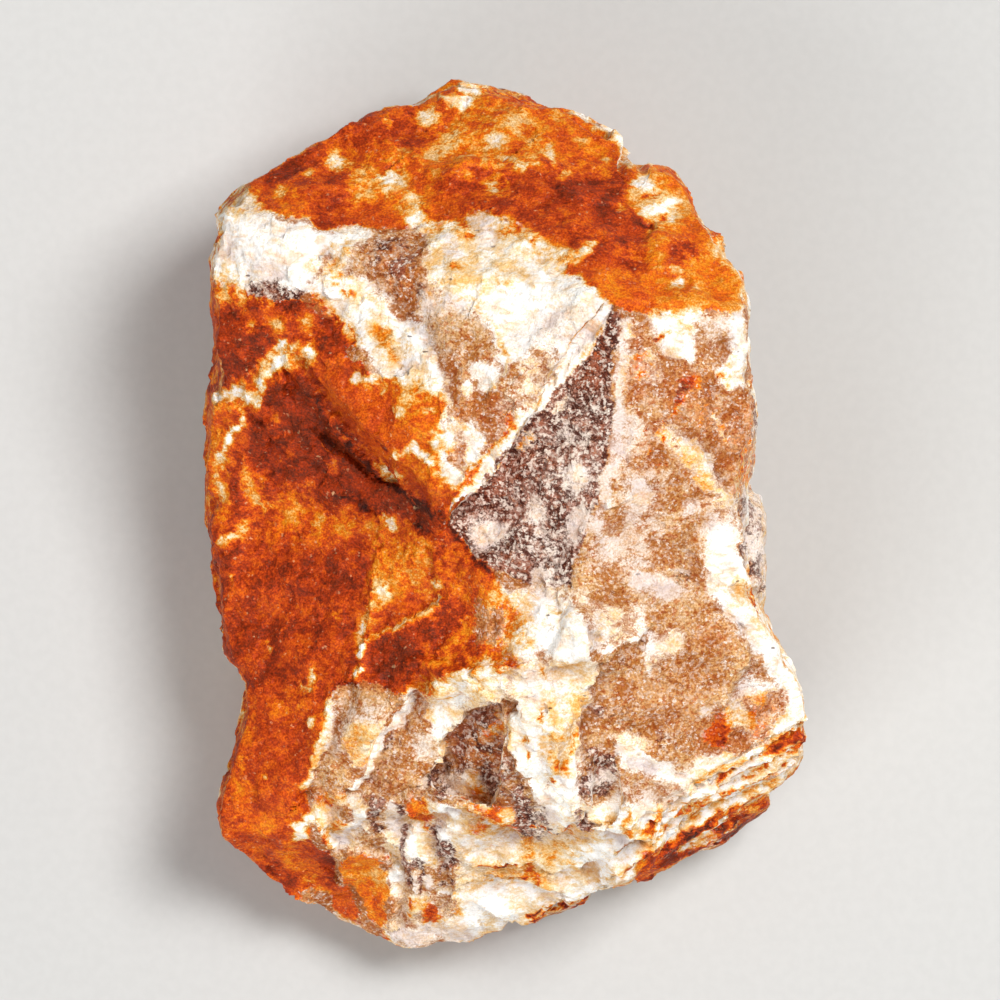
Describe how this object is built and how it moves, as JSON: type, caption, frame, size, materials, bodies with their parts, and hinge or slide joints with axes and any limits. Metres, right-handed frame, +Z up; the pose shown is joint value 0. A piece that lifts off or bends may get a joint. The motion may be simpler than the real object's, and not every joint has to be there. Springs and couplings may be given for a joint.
{
  "type": "raw calcite specimen",
  "caption": "Rough broken lump of orange and white massive calcite, lying on its flattest side as a display specimen.",
  "frame": {"origin": "on the surface that the stone lies on, under the middle of its bounding box", "axes": "+Z up off the flat foot, +Y along the stone's length towards its orange crusted end, +X to the right of that"},
  "size_m": [0.0628, 0.0906, 0.0418],
  "materials": {
    "orange_calcite": "broken, sugary calcite: honey to smoky translucent faces under chalk white, orange iron crust and rust"
  },
  "bodies": {
    "root": {"calcite_stone": "orange_calcite"}
  },
  "joints": []
}
